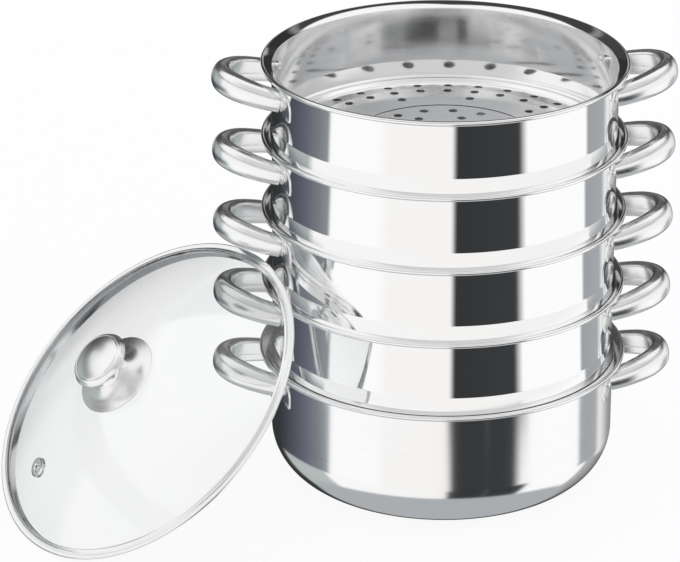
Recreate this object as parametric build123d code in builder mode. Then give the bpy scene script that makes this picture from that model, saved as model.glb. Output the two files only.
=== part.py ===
from build123d import *
import os
from math import acos, asin, cos, radians, sin, sqrt

# A stack of a pot and four steaming tiers, with its glass lid leaning beside it.
# The origin is the middle of the pot's base, on the surface it stands on.
# X runs through the handles, Z runs up the stack. Lengths are in millimetres.

# Sheet steel and clearances
sheet = 0.6
seat_gap = 0.3
rivet_fit = 0.05
overrun = 5.0

# The stack
tier_count = 4
tier_pitch = 61.6
pot_height = 107.8

# A steaming tier, whose foot flares out to a seat and steps in to a ledge and a floor
tier_inner_radius = 138.1
tier_mouth_width = 9.4
flare_height = 13.9
flare_width = 2.9
seat_width = 2.0
ledge_width = 3.8
tuck_width = 2.4
nest_depth = 4.6

# The bottom pot, a little wider than the tiers
pot_step = 1.3
pot_mouth_width = 10.2
pot_corner_radius = 42.0
corner_runs = 5

# The rolled edge and the slope of the mouth below it
bead_radius = 2.0
bead_sides = 6
seat_drop = 0.8

# The holes of a tier's floor, ring by ring from the outside
hole_radius = 3.6
hole_sides = 6
hole_ring_shares = [0.923, 0.813, 0.688, 0.461, 0.344]
hole_ring_counts = [30, 30, 10, 16, 8]
hole_start_shares = [0.0, 0.0, 0.0, 0.5, 0.5]

# A loop handle
handle_drop = 19.1
handle_reach = 47.4
handle_half_width = 37.3
handle_end_radius = 31.0
handle_end_half_angle = 50.0
handle_rise = 12.0
handle_height = 19.6
handle_thickness = 13.0
handle_edge = 3.6
tab_thickness = 1.2
tab_height = 17.6

# A handle's rivets
rivet_angle = 20.0
rivet_drop = 17.6
rivet_shank_radius = 2.0
rivet_head_radius = 3.8
rivet_head_height = 1.3
rivet_shank_sides = 6
rivet_head_sides = 8

# The lid's glass, a cap of a sphere inside the lid's flat rim
lid_inset = 1.9
rim_width = 6.2
glass_thickness = 4.0
glass_crown_radius = 278.0
glass_edge_height = 1.92
dome_runs = 9
glass_fit = 0.25
knob_hole_radius = 4.0
vent_hole_radius = 5.6

# The lid's rim band
band_edge_height = 1.8
band_fit = 0.1
lip_width = 4.0
skirt_fit = 1.3
skirt_depth = 9.0

# The lid's knob, with its heights above the crown of the glass
cap_radius = 24.8
cap_taper = 3.3
cap_crown_radius = 11.0
cap_edge_height = 19.6
cap_lip_height = 2.0
cap_wall_height = 5.0
cap_crown_height = 3.0
stem_radius = 8.0
foot_radius = 34.5
foot_mid_radius = 22.0
foot_mid_height = 0.4
foot_waist_radius = 13.0
foot_waist_height = 6.6
foot_top_radius = 11.5
foot_sheet = 0.9
screw_grip = 14.0
screw_radius = 2.5
screw_head_radius = 6.0
screw_head_height = 3.2
washer_radius = 9.0
washer_thickness = 1.2

# The steam vent, placed by shares of the glass's radius
vent_across_share = 0.217
vent_down_share = 0.683
vent_flange_radius = 8.0
vent_bore_radius = 3.0
vent_flange_thickness = 0.8

# How the lid leans: its upper edge reaches in under the second tier's handle
lid_bearing = 198.09
lid_heading = 211.4
lid_overhang = 34.7
lid_top_drop = 11.45


def save(builder, name):
    builder.part.label = name
    export_step(builder.part, "parts/" + name + ".step")


def mouth_height(rim_radius, radius):
    """Height of the sloping mouth above the rim's plane, where it passes the seat."""
    bead_centre = rim_radius - bead_radius
    slope = (bead_radius + seat_drop) / (bead_centre - seat_outer_radius)
    return (radius - seat_outer_radius) * slope - seat_drop


def rim_points(rim_height, rim_radius, inner_radius):
    """The mouth's inside, from the top of the rolled edge down to the wall."""
    bead_centre = rim_radius - bead_radius
    return [
        (bead_centre, rim_height + bead_radius),
        (inner_radius, rim_height + mouth_height(rim_radius, inner_radius)),
    ]


def sheet_outline(inside, thickness):
    """Outline of bent sheet: one face's line, then the other face's, back again."""
    outside = []
    for index, point in enumerate(inside):
        corner = Vector(*point)
        turns = []
        if index > 0:
            turns.append((corner - Vector(*inside[index - 1])).normalized())
        if index < len(inside) - 1:
            turns.append((Vector(*inside[index + 1]) - corner).normalized())
        normals = [Vector(-turn.Y, turn.X) for turn in turns]
        middle = sum(normals[1:], normals[0]).normalized()
        outside.append(corner + middle * (thickness / middle.dot(normals[0])))
    return [Vector(*point) for point in inside] + outside[::-1]


def rolled_edge(rim_height, rim_radius):
    """Section of the rolled edge that ends a vessel's mouth."""
    with Locations((rim_radius - bead_radius, rim_height)):
        RegularPolygon(bead_radius, bead_sides)


def rivet_holes(rim_height, wall_radius):
    """Pierces a wall, or a handle's tab on it, for the rivets."""
    for turn in rivet_turns():
        with BuildSketch(rivet_plane(turn, rim_height, wall_radius)) as hole:
            RegularPolygon(rivet_shank_radius + rivet_fit, rivet_shank_sides)
        extrude(hole.sketch, amount=overrun, both=True, mode=Mode.SUBTRACT)


def rivet_turns():
    """Angles of the rivets round the wall, two for each handle."""
    return [side + step for side in (0, 180) for step in (-rivet_angle, rivet_angle)]


def rivet_plane(turn, rim_height, radius):
    """Plane square to a rivet, where its centre line leaves the wall."""
    across, out = cos(radians(turn)), sin(radians(turn))
    return Plane(
        origin=(radius * across, radius * out, rim_height - rivet_drop),
        x_dir=(0, 0, 1),
        z_dir=(across, out, 0),
    )


def rivets(rim_height, wall_radius):
    """Four rivets: a head on the handle's tab, a shank, and a head inside the wall."""
    grip = sheet + tab_thickness + rivet_fit
    with BuildPart() as group:
        for turn in rivet_turns():
            inside = rivet_plane(turn, rim_height, wall_radius - sheet - rivet_fit)
            with BuildSketch(inside):
                RegularPolygon(rivet_head_radius, rivet_head_sides)
            extrude(amount=-rivet_head_height)
            with BuildSketch(inside):
                RegularPolygon(rivet_shank_radius, rivet_shank_sides)
            extrude(amount=grip)
            with BuildSketch(inside.offset(grip)):
                RegularPolygon(rivet_head_radius, rivet_head_sides)
            extrude(amount=rivet_head_height)
    return group


def loop_handle(rim_height, wall_radius):
    """A hollow loop with both ends pressed flat against the wall, for the +X side."""
    rivet_across = wall_radius * sin(radians(rivet_angle))
    wall_across = sqrt(wall_radius**2 - handle_half_width**2)
    rise = radians(handle_rise)
    loop_plane = Plane(
        origin=(wall_across, 0, rim_height - handle_drop),
        x_dir=(cos(rise), 0, sin(rise)),
        z_dir=(-sin(rise), 0, cos(rise)),
    )
    tab_middle = (handle_half_width + rivet_across) / 2
    with BuildPart() as handle:
        with BuildSketch(Plane.YZ):
            for side in (-1, 1):
                with Locations((side * tab_middle, rim_height - rivet_drop)):
                    SlotCenterToCenter(rivet_across - handle_half_width, tab_height)
        extrude(amount=wall_radius + overrun)
        with BuildSketch(Plane.XY.offset(rim_height)):
            Circle(wall_radius + tab_thickness)
            Circle(wall_radius, mode=Mode.SUBTRACT)
        extrude(amount=-rivet_drop - tab_height, mode=Mode.INTERSECT)
        with BuildLine(loop_plane) as path:
            end = CenterArc(
                (handle_reach - handle_end_radius, 0),
                handle_end_radius,
                -handle_end_half_angle,
                2 * handle_end_half_angle,
            )
            for side, at in ((-1, 0), (1, 1)):
                arm = TangentArc(
                    end @ at,
                    (0, side * handle_half_width),
                    tangent=(end % at) * side,
                )
                Line(arm @ 1, arm @ 1 + (arm % 1) * overrun)
        with BuildSketch(
            Plane(path.line @ 0, x_dir=loop_plane.z_dir, z_dir=path.line % 0)
        ):
            handle_section()
        sweep()
        with BuildSketch(Plane.XY.offset(rim_height)):
            Circle(wall_radius)
        extrude(amount=-rivet_drop - 2 * tab_height, mode=Mode.SUBTRACT)
        rivet_holes(rim_height, wall_radius)
    return handle


def handle_section():
    Rectangle(handle_height, handle_thickness)
    chamfer(vertices(), length=handle_edge)


os.makedirs("parts", exist_ok=True)

tier_wall_radius = tier_inner_radius + sheet
tier_rim_radius = tier_inner_radius + tier_mouth_width
seat_outer_radius = tier_inner_radius + flare_width
seat_inner_radius = seat_outer_radius - seat_width
ledge_radius = seat_inner_radius - sheet - ledge_width
floor_radius = ledge_radius - tuck_width
floor_depth = tier_pitch + nest_depth
pot_inner_radius = tier_inner_radius + pot_step
pot_wall_radius = pot_inner_radius + sheet
pot_rim_radius = pot_inner_radius + pot_mouth_width


def pot_outline():
    """A deep pan, whose wall runs into its base by a large round corner."""
    inside = pot_corner_radius - sheet
    flat = pot_wall_radius - pot_corner_radius
    turns = [radians(90 * run / corner_runs) for run in range(corner_runs + 1)]
    mouth = rim_points(pot_height, pot_rim_radius, pot_inner_radius)
    corner = [
        (flat + inside * cos(turn), pot_corner_radius - inside * sin(turn))
        for turn in turns
    ]
    outline = sheet_outline(mouth + corner + [(0, sheet)], sheet)
    Polyline(*outline, outline[0])


def tier_outline(rim_height, radius_below):
    """A tier whose foot nests in the mouth of the vessel below, of that rim radius."""
    rim_below = rim_height - tier_pitch
    lift = seat_gap + sheet
    ledge_height = rim_below + mouth_height(radius_below, seat_inner_radius) + lift
    seat_height = rim_below + mouth_height(radius_below, seat_outer_radius) + lift
    floor_height = rim_height - floor_depth + sheet
    inside = rim_points(rim_height, tier_rim_radius, tier_inner_radius) + [
        (tier_inner_radius, rim_below + flare_height),
        (seat_outer_radius - sheet, seat_height),
        (seat_inner_radius - sheet, ledge_height),
        (ledge_radius, ledge_height),
        (floor_radius, floor_height),
        (0, floor_height),
    ]
    outline = sheet_outline(inside, sheet)
    Polyline(*outline, outline[0])


def pierce_floor(floor_height):
    """Cuts the rings of steam holes through a tier's floor."""
    with BuildSketch(Plane.XY.offset(floor_height)) as holes:
        for share, count, start_share in zip(
            hole_ring_shares, hole_ring_counts, hole_start_shares
        ):
            start = 360 / count * start_share
            with PolarLocations(floor_radius * share, count, start_angle=start):
                RegularPolygon(hole_radius, hole_sides)
    extrude(holes.sketch, amount=2 * sheet, both=True, mode=Mode.SUBTRACT)


def save_handles(rim_height, wall_radius, name):
    handle = loop_handle(rim_height, wall_radius)
    save(handle, name + "_handle_right")
    with BuildPart() as left_handle:
        add(handle.part.rotate(Axis.Z, 180))
    save(left_handle, name + "_handle_left")


with BuildPart() as pot_body:
    with BuildSketch(Plane.XZ):
        with BuildLine():
            pot_outline()
        make_face()
        rolled_edge(pot_height, pot_rim_radius)
    revolve(axis=Axis.Z)
    rivet_holes(pot_height, pot_wall_radius)
save(pot_body, "pot_body")
save(rivets(pot_height, pot_wall_radius), "pot_rivets")
save_handles(pot_height, pot_wall_radius, "pot")

for number in range(1, tier_count + 1):
    name = "tier_" + str(number)
    rim_height = pot_height + number * tier_pitch
    radius_below = pot_rim_radius if number == 1 else tier_rim_radius
    with BuildPart() as tier_body:
        with BuildSketch(Plane.XZ):
            with BuildLine():
                tier_outline(rim_height, radius_below)
            make_face()
            rolled_edge(rim_height, tier_rim_radius)
        revolve(axis=Axis.Z)
        rivet_holes(rim_height, tier_wall_radius)
        pierce_floor(rim_height - floor_depth)
    save(tier_body, name + "_body")
    save(rivets(rim_height, tier_wall_radius), name + "_rivets")
    save_handles(rim_height, tier_wall_radius, name)

# The lid leans on the lower edge of its band. Its own frame has its origin at the
# middle of the band's rim, Z out through the knob and X straight up the slope.
lid_radius = tier_rim_radius - lid_inset
lid_top_height = pot_height + 2 * tier_pitch - handle_drop - lid_top_drop
lid_rise = acos(lid_top_height / (2 * lid_radius))
lid_turn = radians(lid_heading)
lid_distance = (
    tier_wall_radius + handle_reach + lid_radius * sin(lid_rise) - lid_overhang
)
lid_out = Vector(
    cos(lid_rise) * cos(lid_turn), cos(lid_rise) * sin(lid_turn), sin(lid_rise)
)
lid_up = Vector(
    -sin(lid_rise) * cos(lid_turn), -sin(lid_rise) * sin(lid_turn), cos(lid_rise)
)
lid_plane = Plane(
    origin=(
        lid_distance * cos(radians(lid_bearing)),
        lid_distance * sin(radians(lid_bearing)),
        lid_radius * cos(lid_rise) + band_edge_height / 2 * sin(lid_rise),
    ),
    x_dir=lid_up,
    z_dir=lid_out,
)

# The glass is a cap of a sphere, so both its faces are known at any radius.
glass_radius = lid_radius - rim_width
crown_centre = glass_edge_height - sqrt(glass_crown_radius**2 - glass_radius**2)
inner_crown_radius = glass_crown_radius - glass_thickness


def glass_top(radius):
    return crown_centre + sqrt(glass_crown_radius**2 - radius**2)


def glass_under(radius):
    return crown_centre + sqrt(inner_crown_radius**2 - radius**2)


def section_through(plane):
    """The plane that holds another plane's X and Z, for profiles turned about its Z."""
    return Plane(plane.origin, x_dir=plane.x_dir, z_dir=plane.x_dir.cross(plane.z_dir))


def turned(points, plane):
    """A piece turned about the plane's Z from corners given as radius and height."""
    with BuildPart() as piece:
        with BuildSketch(section_through(plane)):
            with BuildLine():
                Polyline(*points, points[0])
            make_face()
        revolve(axis=Axis(plane.origin, plane.z_dir))
    return piece


# The vent stands square to the glass, low on the lid as it leans.
vent_across = vent_across_share * glass_radius
vent_down = vent_down_share * glass_radius
vent_distance = sqrt(vent_across**2 + vent_down**2)
vent_lean = asin(vent_distance / glass_crown_radius)
vent_way = (lid_plane.y_dir * vent_across - lid_up * vent_down).normalized()
vent_out = lid_out * cos(vent_lean) + vent_way * sin(vent_lean)
vent_plane = Plane(
    origin=lid_plane.origin
    + vent_way * vent_distance
    + lid_out * glass_top(vent_distance),
    x_dir=vent_way.cross(lid_out),
    z_dir=vent_out,
)

dome_step = (glass_radius - knob_hole_radius) / dome_runs
dome_radii = [knob_hole_radius + dome_step * run for run in range(dome_runs + 1)]
dome = turned(
    [(radius, glass_top(radius)) for radius in dome_radii]
    + [(radius, glass_under(radius)) for radius in reversed(dome_radii)],
    lid_plane,
)
with BuildPart() as lid_glass:
    add(dome.part)
    with BuildSketch(vent_plane):
        Circle(vent_hole_radius)
    extrude(amount=glass_thickness + overrun, both=True, mode=Mode.SUBTRACT)
save(lid_glass, "lid_glass")

# The band grips the glass's edge in a channel. A rim outside it lies on the mouth of
# a vessel, and a skirt inside it drops into the vessel.
skirt_radius = tier_inner_radius - skirt_fit
band_lip_radius = glass_radius - lip_width
channel_radius = glass_radius + band_fit
channel_floor = glass_under(glass_radius) - band_fit
band_radius = channel_radius + sheet
half_edge = band_edge_height / 2
lip_height = glass_top(band_lip_radius) + band_fit
channel_top = glass_top(channel_radius) + band_fit
lid_rim_band = turned(
    [
        (band_lip_radius, lip_height),
        (channel_radius, channel_top),
        (channel_radius, channel_floor),
        (skirt_radius - sheet, channel_floor),
        (skirt_radius - sheet, -skirt_depth),
        (skirt_radius, -skirt_depth),
        (skirt_radius, channel_floor - sheet),
        (band_radius, channel_floor - sheet),
        (band_radius, -half_edge),
        (lid_radius, -half_edge),
        (lid_radius, half_edge),
        (band_radius, half_edge),
        (band_radius, channel_top + sheet),
        (band_lip_radius, lip_height + sheet),
    ],
    lid_plane,
)
save(lid_rim_band, "lid_rim_band")

# The knob: a domed cap whose stem stands on the glass, a flared foot round the stem,
# and a screw that pulls the stem down through the glass.
crown_height = crown_centre + glass_crown_radius
cap_edge = crown_height + cap_edge_height
cap_under = cap_edge - cap_lip_height
cap_wall_top = cap_edge + cap_wall_height
cap_top = cap_wall_top + cap_crown_height
stem_foot = glass_top(knob_hole_radius) + band_fit
washer_top = glass_under(washer_radius) - glass_fit
screw_top = stem_foot + screw_grip
lid_knob_cap = turned(
    [
        (0, screw_top),
        (screw_radius + band_fit, screw_top),
        (screw_radius + band_fit, stem_foot),
        (stem_radius, stem_foot),
        (stem_radius, cap_under),
        (cap_radius - cap_lip_height, cap_under),
        (cap_radius, cap_edge),
        (cap_radius - cap_taper, cap_wall_top),
        (cap_crown_radius, cap_top),
        (0, cap_top),
    ],
    lid_plane,
)
save(lid_knob_cap, "lid_knob_cap")

lid_knob_skirt = turned(
    sheet_outline(
        [
            (foot_radius, glass_top(foot_radius) + band_fit),
            (foot_mid_radius, crown_height + foot_mid_height),
            (foot_waist_radius, crown_height + foot_waist_height),
            (foot_top_radius, cap_under - band_fit - foot_sheet),
            (stem_radius + band_fit, cap_under - band_fit - foot_sheet),
        ],
        -foot_sheet,
    ),
    lid_plane,
)
save(lid_knob_skirt, "lid_knob_skirt")

lid_knob_washer = turned(
    [
        (screw_radius + band_fit, washer_top),
        (washer_radius, washer_top),
        (washer_radius, washer_top - washer_thickness),
        (screw_radius + band_fit, washer_top - washer_thickness),
    ],
    lid_plane,
)
save(lid_knob_washer, "lid_knob_washer")

head_top = washer_top - washer_thickness - band_fit
lid_knob_screw = turned(
    [
        (0, screw_top - band_fit),
        (screw_radius, screw_top - band_fit),
        (screw_radius, head_top),
        (screw_head_radius, head_top),
        (screw_head_radius, head_top - screw_head_height),
        (0, head_top - screw_head_height),
    ],
    lid_plane,
)
save(lid_knob_screw, "lid_knob_screw")

# The eyelet is clenched on both faces of the glass.
vent_tube_radius = vent_hole_radius - band_fit
vent_drop = glass_thickness + glass_fit
lid_vent_grommet = turned(
    [
        (vent_bore_radius, band_fit + vent_flange_thickness),
        (vent_flange_radius, band_fit + vent_flange_thickness),
        (vent_flange_radius, band_fit),
        (vent_tube_radius, band_fit),
        (vent_tube_radius, -vent_drop),
        (vent_flange_radius, -vent_drop),
        (vent_flange_radius, -vent_drop - vent_flange_thickness),
        (vent_bore_radius, -vent_drop - vent_flange_thickness),
    ],
    vent_plane,
)
save(lid_vent_grommet, "lid_vent_grommet")
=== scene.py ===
from math import acos, asin, atan2, cos, pi, radians, sin, sqrt, tan

import bmesh
import bpy
from mathutils import Matrix, Vector


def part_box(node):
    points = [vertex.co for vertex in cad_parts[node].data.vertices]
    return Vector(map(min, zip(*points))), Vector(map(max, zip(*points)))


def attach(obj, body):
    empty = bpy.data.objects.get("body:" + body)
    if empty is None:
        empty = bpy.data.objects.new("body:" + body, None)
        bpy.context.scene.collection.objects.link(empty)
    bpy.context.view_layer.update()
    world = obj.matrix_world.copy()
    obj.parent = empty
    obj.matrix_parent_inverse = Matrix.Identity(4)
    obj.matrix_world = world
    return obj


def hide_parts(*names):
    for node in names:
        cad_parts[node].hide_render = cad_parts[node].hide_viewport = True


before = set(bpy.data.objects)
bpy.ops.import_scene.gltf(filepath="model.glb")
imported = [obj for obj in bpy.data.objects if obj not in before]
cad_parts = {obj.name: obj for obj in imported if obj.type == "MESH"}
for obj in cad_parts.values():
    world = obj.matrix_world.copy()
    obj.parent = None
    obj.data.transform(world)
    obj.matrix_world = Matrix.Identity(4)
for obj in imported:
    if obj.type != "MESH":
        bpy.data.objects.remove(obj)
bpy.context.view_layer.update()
mm = 0.001

# The camera stands in front of the stack and a little to its left, and looks down
# on it through a long lens, so the rims show as open ellipses.
camera_place = Vector((-0.2429, -2.8525, 1.3611))
camera_turn = 0.0557
camera_drop = 0.39628
camera_roll = 0.0012873
sensor_width = 36.0
lens_length = 201.24
nearest_seen = 0.05
farthest_seen = 50.0
light_bounces = 16
mirror_bounces = 12

ahead = Vector(
    (
        sin(camera_turn) * cos(camera_drop),
        cos(camera_turn) * cos(camera_drop),
        -sin(camera_drop),
    )
)
camera_data = bpy.data.cameras.new("camera")
camera_data.sensor_width = sensor_width
camera_data.lens = lens_length
camera_data.clip_start = nearest_seen
camera_data.clip_end = farthest_seen
camera = bpy.data.objects.new("camera", camera_data)
bpy.context.scene.collection.objects.link(camera)
level = ahead.to_track_quat("-Z", "Y").to_matrix().to_4x4()
rolled = Matrix.Rotation(camera_roll, 4, "Z")
camera.matrix_world = Matrix.Translation(camera_place) @ level @ rolled
bpy.context.scene.camera = camera
bpy.context.scene.view_settings.view_transform = "Standard"
bpy.context.scene.cycles.max_bounces = light_bounces
bpy.context.scene.cycles.glossy_bounces = mirror_bounces

# The studio is a white room without lamps: its walls light the pots. Polished steel
# mirrors its panels, and each tone is given by the direction in which a panel lies.
room_white = (1.0, 1.0, 1.0, 1.0)
world = bpy.data.worlds.new("studio")
world.use_nodes = True
bpy.context.scene.world = world
room = world.node_tree
room.nodes.clear()
direction = room.nodes.new("ShaderNodeTexCoord")
parts = room.nodes.new("ShaderNodeSeparateXYZ")
room.links.new(direction.outputs["Generated"], parts.inputs[0])


def ramp_node(nodes, stops):
    """A colour ramp with the given places and colours."""
    ramp = nodes.new("ShaderNodeValToRGB")
    while len(ramp.color_ramp.elements) < len(stops):
        ramp.color_ramp.elements.new(0.5)
    for element, (place, colour) in zip(ramp.color_ramp.elements, stops):
        element.position = place
        element.color = (*colour[:3], 1.0)
    return ramp


def grey(level, warmth=0.0):
    """A grey of that linear level, warmer above zero and bluer below."""
    return (level * (1 + warmth), level, level * (1 - warmth), 1.0)


def slate(level):
    """The blue grey of the panel on the left."""
    return (level * 0.95, level, level * 1.3, 1.0)


def teal(level):
    """The pale grey green of the panel beyond it."""
    return (level * 0.9, level, level * 0.98, 1.0)


def math_in(tree, operation, *values):
    """A sum in a node tree, from numbers and from other nodes."""
    node = tree.nodes.new("ShaderNodeMath")
    node.operation = operation
    for socket, value in zip(node.inputs, values):
        if isinstance(value, (int, float)):
            socket.default_value = value
        else:
            tree.links.new(value, socket)
    return node.outputs[0]


def room_math(operation, *values):
    """A sum on directions in the room."""
    return math_in(room, operation, *values)


def shader_mix(tree, share, first, second):
    """The first shader where the share is 0, and the second where it is 1."""
    node = tree.nodes.new("ShaderNodeMixShader")
    for socket, value in zip(node.inputs, (share, first, second)):
        tree.links.new(value, socket)
    return node.outputs[0]


def room_mix(share, first, second):
    """The first tone where the share is 0, and the second where it is 1."""
    node = room.nodes.new("ShaderNodeMix")
    node.data_type = "RGBA"
    room.links.new(share, node.inputs["Factor"])
    for socket, value in ((node.inputs[6], first), (node.inputs[7], second)):
        if isinstance(value, tuple):
            socket.default_value = value
        else:
            room.links.new(value, socket)
    return node.outputs[2]


# Both places run from 0 to 1. The first goes round the room, with the camera's side at
# 0.5, and the second from straight down to straight up, with the horizon at 0.5.
facing = room_math("MULTIPLY", parts.outputs["Y"], -1.0)
round_angle = room_math("ARCTAN2", parts.outputs["X"], facing)
round_place = room_math("MULTIPLY_ADD", round_angle, 1 / (2 * pi), 0.5)
rise_angle = room_math("ARCSINE", parts.outputs["Z"])
rise_place = room_math("MULTIPLY_ADD", rise_angle, 1 / pi, 0.5)


def tones_along(place, degrees_in_all, stops):
    """A run of tones along one of these places, by degrees from its middle."""
    shares = [(0.5 + degrees_on / degrees_in_all, tone) for degrees_on, tone in stops]
    ramp = ramp_node(room.nodes, shares)
    room.links.new(place, ramp.inputs[0])
    return ramp.outputs[0]


def panels_round(*stops):
    """Panels side by side round the room, by degrees from the camera's side."""
    return tones_along(round_place, 360, stops)


def step_between(place, low, high):
    """A share that climbs from 0 to 1 between two places."""
    node = room.nodes.new("ShaderNodeMapRange")
    node.interpolation_type = "SMOOTHSTEP"
    node.inputs["From Min"].default_value = low
    node.inputs["From Max"].default_value = high
    room.links.new(place, node.inputs["Value"])
    return node.outputs[0]


def above(low, high):
    """A share that climbs from 0 to 1 between two heights in the room, in degrees."""
    return step_between(rise_place, 0.5 + low / 180, 0.5 + high / 180)


def side_of(across, along, up, low, high):
    """A share that climbs across a slanting edge of a panel in the room."""
    first = room_math("MULTIPLY", parts.outputs["X"], across)
    second = room_math("MULTIPLY_ADD", parts.outputs["Y"], along, first)
    third = room_math("MULTIPLY_ADD", parts.outputs["Z"], up, second)
    return step_between(third, low, high)


def within(first, *others):
    """The share of a panel that lies inside all its edges."""
    share = first
    for other in others:
        share = room_math("MULTIPLY", share, other)
    return share


# Under the table's edge the steel mirrors a grey floor. Over it lie five bands of panels,
# each from straight behind round to behind again. The upright walls mirror the second
# band, what leans outwards mirrors lower ones, and the pierced floors mirror the fourth.
room_tone = grey(0.43, -0.045)
panels_low = panels_round(
    (-180, grey(0.03)),
    (-150, grey(0.04)),
    (-143, teal(0.50)),
    (-94, teal(0.52)),
    (-90, grey(0.98)),
    (-1.5, grey(0.93, 0.012)),
    (1.5, grey(0.036, -0.04)),
    (25, grey(0.04, -0.04)),
    (27, grey(0.09, -0.04)),
    (30, grey(0.04, -0.04)),
    (55, grey(0.04, -0.04)),
    (60, grey(1.0)),
    (114, grey(1.0)),
    (118, grey(0.45)),
    (150, grey(0.25)),
    (165, grey(0.04)),
    (180, grey(0.03)),
)
panels_below = panels_round(
    (-180, grey(0.03)),
    (-150, grey(0.035, -0.1)),
    (-137, slate(0.055)),
    (-121, slate(0.09)),
    (-109, slate(0.13)),
    (-97, grey(0.20, -0.08)),
    (-88, grey(0.28, -0.05)),
    (-85.5, grey(1.0)),
    (-50, grey(1.0)),
    (-42, grey(0.93, 0.012)),
    (0.5, grey(0.93, 0.012)),
    (3.5, grey(0.036, -0.04)),
    (46, grey(0.045, -0.04)),
    (52, grey(1.0)),
    (103, grey(1.0)),
    (105, grey(0.36, -0.04)),
    (126, grey(0.40, -0.04)),
    (132, grey(0.85)),
    (150, grey(0.34)),
    (171, grey(0.20)),
    (180, grey(0.03)),
)
panels_sill = panels_round(
    (-180, grey(0.05)),
    (-150, grey(0.05)),
    (-138, teal(0.20)),
    (-131, teal(0.46)),
    (-103, teal(0.46)),
    (-97, grey(0.95)),
    (5, grey(0.93, 0.012)),
    (110, grey(0.90)),
    (130, grey(0.80)),
    (150, grey(0.40)),
    (180, grey(0.05)),
)
panels_shelf = panels_round(
    (-180, grey(0.46)),
    (-175, grey(0.42)),
    (-169, grey(0.17)),
    (-118, grey(0.16)),
    (-100, grey(0.20)),
    (-94, grey(0.50, 0.01)),
    (-62, grey(0.50, 0.01)),
    (-48, grey(0.42, -0.03)),
    (20, grey(0.40, -0.03)),
    (50, grey(0.34, -0.03)),
    (66, grey(0.40)),
    (76, grey(0.66)),
    (92, grey(0.62)),
    (101, grey(0.46, 0.01)),
    (145, grey(0.44, 0.01)),
    (148, grey(0.04)),
    (158, grey(0.04)),
    (161, grey(0.46)),
    (180, grey(0.40)),
)
panels_above = panels_round(
    (-180, grey(0.90)),
    (-150, grey(0.60)),
    (-130, grey(0.95)),
    (-70, grey(0.95)),
    (-45, grey(0.66)),
    (45, grey(0.66)),
    (74, grey(0.55)),
    (110, grey(0.50)),
    (130, grey(0.60)),
    (180, grey(0.90)),
)
for low, high, tones in (
    (-49, -45, panels_low),
    (-30.2, -28.6, panels_below),
    (-15, -10, panels_sill),
    (14, 16.5, panels_shelf),
    (23.5, 26, panels_above),
):
    room_tone = room_mix(above(low, high), room_tone, tones)

# A dark panel hangs behind the stack on its left, and is paler near the table.
left_panel = within(
    side_of(0.83, 1.0, 0.65, 0.16, 0.40),
    side_of(-1.0, 0.0, -0.2, -0.02, 0.05),
    above(-18, -13),
)
left_tones = tones_along(
    rise_place, 180, [(8, grey(0.40, -0.05)), (17, grey(0.05)), (60, grey(0.07))]
)
room_tone = room_mix(left_panel, room_tone, left_tones)

# Two black ones hang straight behind it, one low down and one high on the right.
back_low = within(
    side_of(0.0, 1.0, 0.0, 0.80, 0.86),
    side_of(0.0, 0.0, -1.0, -0.30, -0.26),
    above(-6, 2),
)
back_right = within(
    side_of(1.0, 0.0, 0.0, -0.15, -0.10),
    side_of(0.0, 1.0, 0.0, 0.36, 0.42),
    above(20.5, 22),
)
room_tone = room_mix(room_math("MAXIMUM", back_low, back_right), room_tone, grey(0.03))

# The ceiling is greyer towards the camera, and its back part, which the steel's upper
# edges mirror, is a black beam.
ceiling_tone = room_mix(side_of(0.0, 1.0, 0.0, -0.45, -0.12), grey(0.66), grey(0.95))
room_tone = room_mix(above(33, 42), room_tone, ceiling_tone)
beam = within(
    side_of(0.7, 1.0, 0.0, 0.18, 0.24), side_of(-0.7, 1.0, 0.0, 0.18, 0.24), above(34, 40)
)
room_tone = room_mix(beam, room_tone, grey(0.05))

# The steel mirrors these tones, and all else is lit by and sees plain white walls.
ray = room.nodes.new("ShaderNodeLightPath")
off_steel = room_math("MINIMUM", ray.outputs["Glossy Depth"], 1.0)
mirrored = room.nodes.new("ShaderNodeBackground")
room.links.new(room_tone, mirrored.inputs["Color"])
plain = room.nodes.new("ShaderNodeBackground")
plain.inputs["Color"].default_value = room_white
either = shader_mix(room, off_steel, plain.outputs[0], mirrored.outputs[0])
room_out = room.nodes.new("ShaderNodeOutputWorld")
room.links.new(either, room_out.inputs["Surface"])

# The table is one white sheet. The camera and the glass see it as white paper with
# a faint shadow, and the steel doesn't mirror it, but the room below the horizon.
table_reach = 3.0
shadow_share = 0.10
paper_white = (0.92, 0.92, 0.92, 1)
table_drop = 0.2 * mm

table_mesh = bpy.data.meshes.new("table")
table_corners = [(-1, -1), (1, -1), (1, 1), (-1, 1)]
table_mesh.from_pydata(
    [(table_reach * x, table_reach * y, 0) for x, y in table_corners], [], [(0, 1, 2, 3)]
)
table = bpy.data.objects.new("table", table_mesh)
bpy.context.scene.collection.objects.link(table)
table.location = (0, 0, -table_drop)
paper = bpy.data.materials.new("white_paper")
paper.use_nodes = True
paper_tree = paper.node_tree
paper_tree.nodes.clear()
lit = paper_tree.nodes.new("ShaderNodeBsdfDiffuse")
lit.inputs["Color"].default_value = paper_white
glow = paper_tree.nodes.new("ShaderNodeEmission")
clear = paper_tree.nodes.new("ShaderNodeBsdfTransparent")
seen = paper_tree.nodes.new("ShaderNodeLightPath").outputs
camera_or_glass = math_in(
    paper_tree, "MAXIMUM", seen["Is Camera Ray"], seen["Is Transmission Ray"]
)
white_share = math_in(paper_tree, "MULTIPLY", camera_or_glass, 1 - shadow_share)
sheet_seen = shader_mix(paper_tree, white_share, lit.outputs[0], glow.outputs[0])
mirror_share = math_in(paper_tree, "MINIMUM", seen["Glossy Depth"], 1.0)
sheet_or_clear = shader_mix(paper_tree, mirror_share, sheet_seen, clear.outputs[0])
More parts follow.
